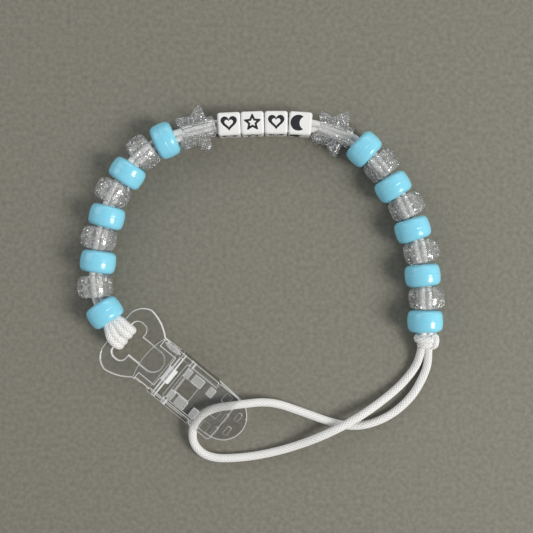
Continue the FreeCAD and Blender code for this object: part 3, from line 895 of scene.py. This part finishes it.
STAR_FLAKES = 1500
for number, name in enumerate(("star_bead_1", "star_bead_2")):
    slab = plate(name + "_slab", [star_outline], -STAR_HALF, STAR_HALF, 0.6, 4)
    hole = rod(name + "_hole", STAR_HOLE, -HOLE_REACH, HOLE_REACH)
    star_mesh = carved(name + "_star", slab, [hole], "DIFFERENCE")
    smooth_form(star_mesh, 32)
    star = to_scene(name + "_star", star_mesh, bead_seat(name))
    star.modifiers.new("even_shading", "WEIGHTED_NORMAL").keep_sharp = True
    give_finish(star, glitter_plastic)
    attach(star, name, "clear_glitter", name)
    flakes = glitter_flakes(
        name + "_glitter", (STAR_TIP, STAR_TIP, STAR_HALF), in_star, STAR_FLAKES,
        20 + number,
    )
    glitter = to_scene(name + "_glitter", flakes, bead_seat(name))
    give_finish(glitter, silver_flake)
    attach(glitter, name, "clear_glitter")
print("star outline points:", len(star_outline))

# %% [markdown]
# ## Cube beads
#
# Cube beads carry a small black shape on each of their four sides, pressed in
# and filled. Here the shapes are plain ones: a heart, a star and a moon. Each
# is a filled outline that cuts a shallow recess, and the faces it leaves take
# the print's material.

# %% Outlines of the printed shapes
CUBE_HALF = 2.9
CUBE_HOLE = 1.95
PRINT_DEPTH = 0.18


def heart_outline(scale):
    points = []
    for step in range(48):
        t = -2 * math.pi * step / 48
        x = 16 * math.sin(t) ** 3
        y = 13 * math.cos(t) - 5 * math.cos(2 * t) - 2 * math.cos(3 * t) - math.cos(4 * t)
        points.append((x / 17 * scale, (y + 2) / 17 * scale))
    return points


def small_star_outline(scale):
    corners = []
    for step in range(10):
        angle = math.radians(90 - 36 * step)
        reach = scale * (1.0 if step % 2 == 0 else 0.46)
        corners.append((reach * math.cos(angle), reach * math.sin(angle), 0.08 * scale))
    return rounded(corners, 3)


def moon_outline(scale):
    outer = [
        (scale * math.cos(math.radians(a)) - 0.25 * scale, scale * math.sin(math.radians(a)))
        for a in range(-50, -311, -6)
    ]
    tip, tail = outer[0], outer[-1]
    inner = list(reversed(arc(tip, tail, 0.86 * scale, 24)))
    return outer + inner[1:]


PRINTS = {
    "cube_bead_1": [heart_outline(2.2), heart_outline(1.15)],
    "cube_bead_2": [small_star_outline(2.5), small_star_outline(1.15)],
    "cube_bead_3": [heart_outline(2.2), heart_outline(1.15)],
    "cube_bead_4": [moon_outline(2.0)],
}


# %% Cubes with their prints
def rounded_cube(name, half, radius):
    form = bmesh.new()
    bmesh.ops.create_cube(form, size=2 * half)
    bmesh.ops.bevel(
        form, geom=form.edges[:], offset=radius, segments=6, profile=0.5,
        affect="EDGES",
    )
    mesh = bpy.data.meshes.new(name)
    form.to_mesh(mesh)
    form.free()
    return mesh


for name, outlines in PRINTS.items():
    block = rounded_cube(name + "_cube", CUBE_HALF, 0.7)
    give = [white_plastic, black_print]
    for material in give:
        block.materials.append(material)
    cutters = []
    for side in range(4):
        stamp = plate(f"{name}_print_{side}", outlines, 0, 1, 0.01, 0)
        stamp.transform(Matrix.Translation((0, 0, CUBE_HALF - PRINT_DEPTH)))
        stamp.transform(Matrix.Rotation(math.pi / 2 * side, 4, "X"))
        for material in give:
            stamp.materials.append(material)
        for face in stamp.polygons:
            face.material_index = 1
        cutters.append(stamp)
    cutters.append(rod(name + "_hole", CUBE_HOLE, -HOLE_REACH, HOLE_REACH))
    cube_mesh = carved(name + "_cube", block, cutters, "DIFFERENCE")
    smooth_form(cube_mesh, 32)
    cube = to_scene(name + "_cube", cube_mesh, bead_seat(name))
    cube.modifiers.new("even_shading", "WEIGHTED_NORMAL").keep_sharp = True
    attach(cube, name, "white_plastic", name)
    print(name, "faces:", len(cube_mesh.polygons))

# %% [markdown]
# ## The clear clip
#
# The clip is three mouldings and a pin: a base with the strap's slot, side
# walls and the round lower jaw; an upper jaw that rocks on two stubs; and a
# thumb lever. Each is built from flat plates with rounded edges and joined
# into one solid, because a clear solid must have no walls inside it. They are
# drawn in the clip's own frame, found from the lever's joint.

# %% The clip's own frame
PIN_ALONG, PIN_RISE = 17.8, 5.3
lever_joint = joints["lever_flip"]
clip_across = Vector(lever_joint["axis"]).normalized()
clip_along = clip_across.cross(Vector((0, 0, 1)))
clip_facing = Matrix((clip_along, clip_across, (0, 0, 1))).transposed().to_4x4()
clip_seat = (
    Matrix.Translation(Vector(lever_joint["pos_m"]))
    @ clip_facing
    @ Matrix.Translation((-PIN_ALONG * MM, 0, -PIN_RISE * MM))
)

# %% Sizes of the clip, in millimetres
BODY_HALF = 6.5
WALL = 1.2
WALL_START, WALL_END = 16.0, 29.0
BLOCK_END = 17.4
HEAD_LOW, HEAD_HIGH = 2.0, 3.8
CLIP_LENGTH = 41.3
JAW_ROUND = 6.2
JAW_THICK = 1.8
SLOT_NEAR, SLOT_FAR = 2.6, 6.6
SLOT_HALF, SLOT_CORNER = 5.5, 1.7
TONGUE_HALF, TONGUE_END = 2.75, 15.2


def across_rod(name, radius, along, rise, half, edge=0.12):
    """A rod across the clip, with rounded ends."""
    profile = [
        (-half, 0.0), (-half, radius - edge), (-half + edge, radius),
        (half - edge, radius), (half, radius - edge), (half, 0.0),
    ]
    form = turned(name, profile, 48)
    form.transform(Matrix.Rotation(math.pi / 2, 4, "Z"))
    form.transform(Matrix.Translation((along, 0, rise)))
    return form


def box_plate(name, left, right, low_side, high_side, low, high, edge=0.15):
    corner = 0.3
    outline = rounded([
        (left, low_side, corner), (left, high_side, corner),
        (right, high_side, corner), (right, low_side, corner),
    ], 3)
    return plate(name, [outline], low, high, edge)


# %% Which finish each face of the clip takes, with painted highlights on rims and pads
RIM_SLOPE, RIM_HEIGHT = 0.9, 1.9
PAD_LEVEL, PAD_AREA = 6.3, 12.0


def clip_finish_and_painted_light(piece):
    """Flat faces and tall walls are clear. Low rims get a painted highlight, a
    whiter finish, and small raised pads are frosted and painted whiter too."""
    give_finish(piece, clear_plastic, clear_edge, frosted_pad)
    spots = piece.data.vertices
    for face in piece.data.polygons:
        heights = [spots[corner].co.z for corner in face.vertices]
        is_low = max(heights) - min(heights) < RIM_HEIGHT * MM
        if abs(face.normal.z) < RIM_SLOPE and is_low:
            face.material_index = 1
        elif face.center.z > PAD_LEVEL * MM and face.area < PAD_AREA * MM**2:
            face.material_index = 2
        else:
            face.material_index = 0


# %% Base: head plate, walls, wings, lower jaw and its grip nubs
head_rim = bulged([
    (0.3, -4.6, 4.8), (0.3, 4.6), (4.2, 9.7, 4.8), (11.2, BODY_HALF, 12.0),
    (BLOCK_END, BODY_HALF), (BLOCK_END, -BODY_HALF), (11.2, -BODY_HALF),
    (4.2, -9.7, 12.0),
])
slot_side = SLOT_HALF - SLOT_CORNER
slot_rim = bulged([
    (SLOT_NEAR, -slot_side, SLOT_CORNER), (SLOT_NEAR, slot_side),
    (SLOT_NEAR + SLOT_CORNER, SLOT_HALF, SLOT_CORNER),
    (SLOT_FAR - SLOT_CORNER, SLOT_HALF), (SLOT_FAR, slot_side, SLOT_CORNER),
    (SLOT_FAR, TONGUE_HALF), (TONGUE_END - TONGUE_HALF, TONGUE_HALF),
    (TONGUE_END, 0, TONGUE_HALF), (TONGUE_END - TONGUE_HALF, -TONGUE_HALF, TONGUE_HALF),
    (SLOT_FAR, -TONGUE_HALF), (SLOT_FAR, -slot_side),
    (SLOT_FAR - SLOT_CORNER, -SLOT_HALF, SLOT_CORNER),
    (SLOT_NEAR + SLOT_CORNER, -SLOT_HALF),
])
jaw_start = CLIP_LENGTH - JAW_ROUND
jaw_rim = bulged([
    (WALL_START, -BODY_HALF), (WALL_START, BODY_HALF), (WALL_END, BODY_HALF),
    (jaw_start, JAW_ROUND), (CLIP_LENGTH, 0, JAW_ROUND),
    (jaw_start, -JAW_ROUND, JAW_ROUND), (WALL_END, -BODY_HALF),
])
base_pieces = [
    plate("lower_jaw", [jaw_rim], 0, JAW_THICK, 0.25),
    box_plate("rear_block", WALL_START, BLOCK_END, -6.48, 6.48, 0.02, 3.7),
]
for side in (-1, 1):
    low, high = sorted((side * (BODY_HALF - WALL), side * (BODY_HALF + 0.02)))
    base_pieces.append(
        box_plate(f"wall_{side}", WALL_START, WALL_END, low, high, 0.01, 6.2, 0.18)
    )
    middle = side * (BODY_HALF - WALL / 2)
    wing = bulged([(11.9, middle, 4.99), (17.0, middle, 4.99)])
    base_pieces.append(plate(f"wing_{side}", [wing], 2.2, 6.4, 0.2))
NUBS = [(35.2, 36.3, -5.3, -2.9), (35.2, 36.3, -1.3, 1.3), (37.7, 38.9, -3.4, -0.9),
        (37.7, 38.9, 1.2, 3.5)]
for number, (left, right, low, high) in enumerate(NUBS):
    base_pieces.append(
        box_plate(f"nub_{number}", left, right, low, high, 1.5, 2.5, 0.12)
    )
head = plate("head", [head_rim, slot_rim], HEAD_LOW, HEAD_HIGH, 0.4, 4)
base_mesh = carved("clip_base_solid", head, base_pieces)
TRUNNION_ALONG, TRUNNION_RISE, TRUNNION = 20.9, 5.2, 0.7
bores = [
    across_rod("pin_bore", 0.6, PIN_ALONG, PIN_RISE, 8, 0),
    across_rod("trunnion_bore", TRUNNION + 0.06, TRUNNION_ALONG, TRUNNION_RISE, 8, 0),
]
base_mesh = carved("clip_base_moulding", base_mesh, bores, "DIFFERENCE")
smooth_form(base_mesh, 32)
base = to_scene("clip_base_moulding", base_mesh, clip_seat)
base.modifiers.new("even_shading", "WEIGHTED_NORMAL").keep_sharp = True
clip_finish_and_painted_light(base)
attach(base, "strap", "clear_plastic", "clip_base")
print("clip base faces:", len(base_mesh.polygons))

# %% Upper jaw: a windowed plate with rail pads, stubs and teeth
UPPER_LOW, UPPER_HIGH = 4.6, 5.8
narrow = BODY_HALF - WALL - 0.25
upper_rim = rounded([
    (19.7, -narrow, 0.4), (19.7, narrow, 0.4), (29.25, narrow, 0.2),
    (29.25, BODY_HALF, 0.4), (35.8, BODY_HALF, 0.8), (35.8, -BODY_HALF, 0.8),
    (29.25, -BODY_HALF, 0.4), (29.25, -narrow, 0.2),
], 4)
window_rim = rounded([
    (21.6, -2.1, 0.3), (21.6, 2.1, 0.3), (25.7, 2.1, 0.3), (25.7, -2.1, 0.3),
], 3)
upper = plate("upper_plate", [upper_rim, window_rim], UPPER_LOW, UPPER_HIGH, 0.2)
upper_pieces = []
for side in (-1, 1):
    low, high = sorted((side * 2.15, side * 4.6))
    for start, end in ((20.6, 22.2), (23.0, 26.1), (27.8, 29.7)):
        upper_pieces.append(
            box_plate(f"rail_{start}_{side}", start, end, low, high, 5.4, 6.6, 0.15)
        )
for low, high in ((-5.7, -3.2), (-1.3, 1.3), (3.2, 5.7)):
    upper_pieces.append(box_plate(f"tooth_{low}", 32, 34, low, high, 4.1, 5.0, 0.12))
upper_pieces.append(
    across_rod("stubs", TRUNNION, TRUNNION_ALONG, TRUNNION_RISE, BODY_HALF - 0.05)
)
upper_mesh = carved("upper_jaw_moulding", upper, upper_pieces)
smooth_form(upper_mesh, 32)
upper_jaw = to_scene("upper_jaw_moulding", upper_mesh, clip_seat)
upper_jaw.modifiers.new("even_shading", "WEIGHTED_NORMAL").keep_sharp = True
clip_finish_and_painted_light(upper_jaw)
attach(upper_jaw, "clip_upper_jaw", "clear_plastic", "clip_upper_jaw")

# %% Lever and pin
LEVER_HALF, WAIST_HALF, KNUCKLE_HALF = 6.3, 4.4, 2.0
edge_along, waist_start, waist_end = 11.2, 11.65, 16.6
lever_rim = bulged([
    (edge_along, -LEVER_HALF), (edge_along, LEVER_HALF, 18.59),
    (waist_start, LEVER_HALF), (waist_start, WAIST_HALF), (waist_end, WAIST_HALF),
    (waist_end, KNUCKLE_HALF), (PIN_ALONG, KNUCKLE_HALF),
    (PIN_ALONG, -KNUCKLE_HALF), (waist_end, -KNUCKLE_HALF),
    (waist_end, -WAIST_HALF), (waist_start, -WAIST_HALF), (waist_start, -LEVER_HALF),
], 20)
tab = plate("lever_tab", [lever_rim], PIN_RISE - 0.65, PIN_RISE + 0.65, 0.22)
knuckle = across_rod("knuckle", 1.35, PIN_ALONG, PIN_RISE, KNUCKLE_HALF)
lever_mesh = carved("lever_solid", tab, [knuckle])
lever_mesh = carved(
    "thumb_lever", lever_mesh,
    [across_rod("lever_bore", 0.66, PIN_ALONG, PIN_RISE, 8, 0)], "DIFFERENCE",
)
smooth_form(lever_mesh, 32)
lever = to_scene("thumb_lever", lever_mesh, clip_seat)
lever.modifiers.new("even_shading", "WEIGHTED_NORMAL").keep_sharp = True
clip_finish_and_painted_light(lever)
attach(lever, "clip_lever", "clear_plastic", "clip_lever")

pin_mesh = across_rod("hinge_pin", 0.57, PIN_ALONG, PIN_RISE, BODY_HALF - 0.05)
smooth_form(pin_mesh, 32)
pin = to_scene("hinge_pin", pin_mesh, clip_seat)
clip_finish_and_painted_light(pin)
attach(pin, "strap", "pin_plastic", "clip_pin")

# %% [markdown]
# ## Hitch and knot
#
# The doubled cord goes over the clip's head bar, down through the slot and back
# under it: four turns in two pairs, drawn together where they enter the first
# bead. At the other end the cord is wrapped round itself. Both are tight and
# short, so their paths are drawn and swept like the loop.

# %% The hitch over the head bar
HITCH_CORD = 2.05
HITCH_HEADING = math.radians(-16.7)
TURN_PLACES = (-1.45, -0.6, 0.6, 1.45)
TURN_SPACING = 1.72
MIDDLE_LIFT = 0.1
FACE_ALONG, FACE_ACROSS = -1.9, 1.0
way_in = Vector((math.cos(HITCH_HEADING), math.sin(HITCH_HEADING), 0))
face_middle = Vector((FACE_ALONG, FACE_ACROSS, 0))
sideways = Vector((-way_in.y, way_in.x, 0))
hitch_form = bmesh.new()
for number, place in enumerate(TURN_PLACES):
    spread = place * TURN_SPACING
    lift = MIDDLE_LIFT if number in (1, 2) else 0.0
    top_start = face_middle - way_in * 1.6 + sideways * place * 0.5
    under_start = face_middle - way_in * 1.4 + sideways * place * 0.5
    corners = [
        Vector((top_start.x, top_start.y, 4.9)),
        Vector((-0.9, FACE_ACROSS * 0.75 + spread * 0.72, 5.0 + lift)),
        Vector((0.3, FACE_ACROSS * 0.25 + spread * 0.95, 4.95 + lift)),
        Vector((1.5, spread, 4.85 + lift)),
        Vector((2.5, spread, 4.8 + lift)),
        Vector((3.4, spread * 0.97, 4.2)),
        Vector((3.5, spread * 0.95, 2.4)),
        Vector((3.1, spread * 0.93, 1.15)),
        Vector((1.6, spread * 0.93, 1.0)),
        Vector((-0.2, FACE_ACROSS * 0.4 + spread * 0.8, 1.3)),
        Vector((-1.0, FACE_ACROSS * 0.8 + spread * 0.6, 2.6)),
        Vector((under_start.x, under_start.y, 3.8)),
    ]
    turn = swept(f"turn_{number}", smooth_line(corners, 10), HITCH_CORD / 2, 48)
    hitch_form.from_mesh(turn)
hitch_mesh = bpy.data.meshes.new("hitch_turns")
hitch_form.to_mesh(hitch_mesh)
hitch_form.free()
hitch = to_scene("hitch_turns", hitch_mesh, clip_seat)
give_finish(hitch, satin_cord)
attach(hitch, "strap", "white_cord", "clip_hitch")

# %% The end knot: two wraps, a side loop and the cords through it
knot_low, knot_high = (Vector(corner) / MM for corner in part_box("end_knot"))
knot_middle = (knot_low + knot_high) / 2
KNOT_CORD = 1.0
WIDE_WRAP = 1.33
WIDE_RIBS, WIDE_PITCH = 9, 8.0
WRAP_STEPS = 64


def wrap(along, tilt, half_width, half_height):
    """One turn round the cords, leaning by tilt."""
    points = []
    for step in range(WRAP_STEPS):
        angle = 2 * math.pi * step / WRAP_STEPS
        points.append(knot_middle + Vector((
            half_width * math.cos(angle), -along - tilt * math.cos(angle),
            half_height * math.sin(angle),
        )))
    return points


knot_form = bmesh.new()
knot_parts = [
    swept(
        "wide_wrap", wrap(-0.5, 0.2, 1.7, 0.95), WIDE_WRAP, 48, ribs=WIDE_RIBS,
        pitch=WIDE_PITCH, closed=True,
    ),
    swept("low_wrap", wrap(0.85, -0.25, 1.2, 0.85), KNOT_CORD, closed=True),
]
through = [
    [(40.9, -13.2, 4.4), (40.9, -15.2, 4.1), (40.9, -17.0, 3.4), (40.8, -18.4, 2.8)],
    [(42.5, -13.2, 4.4), (42.5, -15.2, 4.1), (42.5, -17.0, 3.4), (42.4, -18.5, 2.8)],
    [(42.8, -15.6, 4.3), (43.9, -15.5, 4.3), (44.0, -17.0, 4.2), (43.7, -18.2, 3.4),
     (42.5, -18.2, 2.8)],
]
for number, points in enumerate(through):
    line = smooth_line([Vector(point) for point in points], 12)
    knot_parts.append(swept(f"through_{number}", line, KNOT_CORD))
for part in knot_parts:
    knot_form.from_mesh(part)
knot_mesh = bpy.data.meshes.new("end_knot_wraps")
knot_form.to_mesh(knot_mesh)
knot_form.free()
knot = to_scene("end_knot_wraps", knot_mesh)
give_finish(knot, satin_cord)
attach(knot, "strap", "white_cord", "end_knot")

# %% The two strands through the beads keep their solid shape
for name in ("strap_strand_inner", "strap_strand_outer"):
    strand = frame["nodes"][name]
    give_finish(strand, cord_core)
    smooth_form(strand.data, 40)

# %% [markdown]
# ## Table
#
# The table is a plain grey sheet a hair below the clip's underside.

# %% Table top, its size and finish
TABLE_HALF = 1500
TABLE_DROP = 0.05
sheet_form = bmesh.new()
bmesh.ops.create_grid(sheet_form, x_segments=8, y_segments=8, size=TABLE_HALF)
table_mesh = bpy.data.meshes.new("table_top")
sheet_form.to_mesh(table_mesh)
sheet_form.free()
table_mesh.transform(Matrix.Translation((0, 0, -TABLE_DROP)))
table = to_scene("table_top", table_mesh)
give_finish(table, table_top)
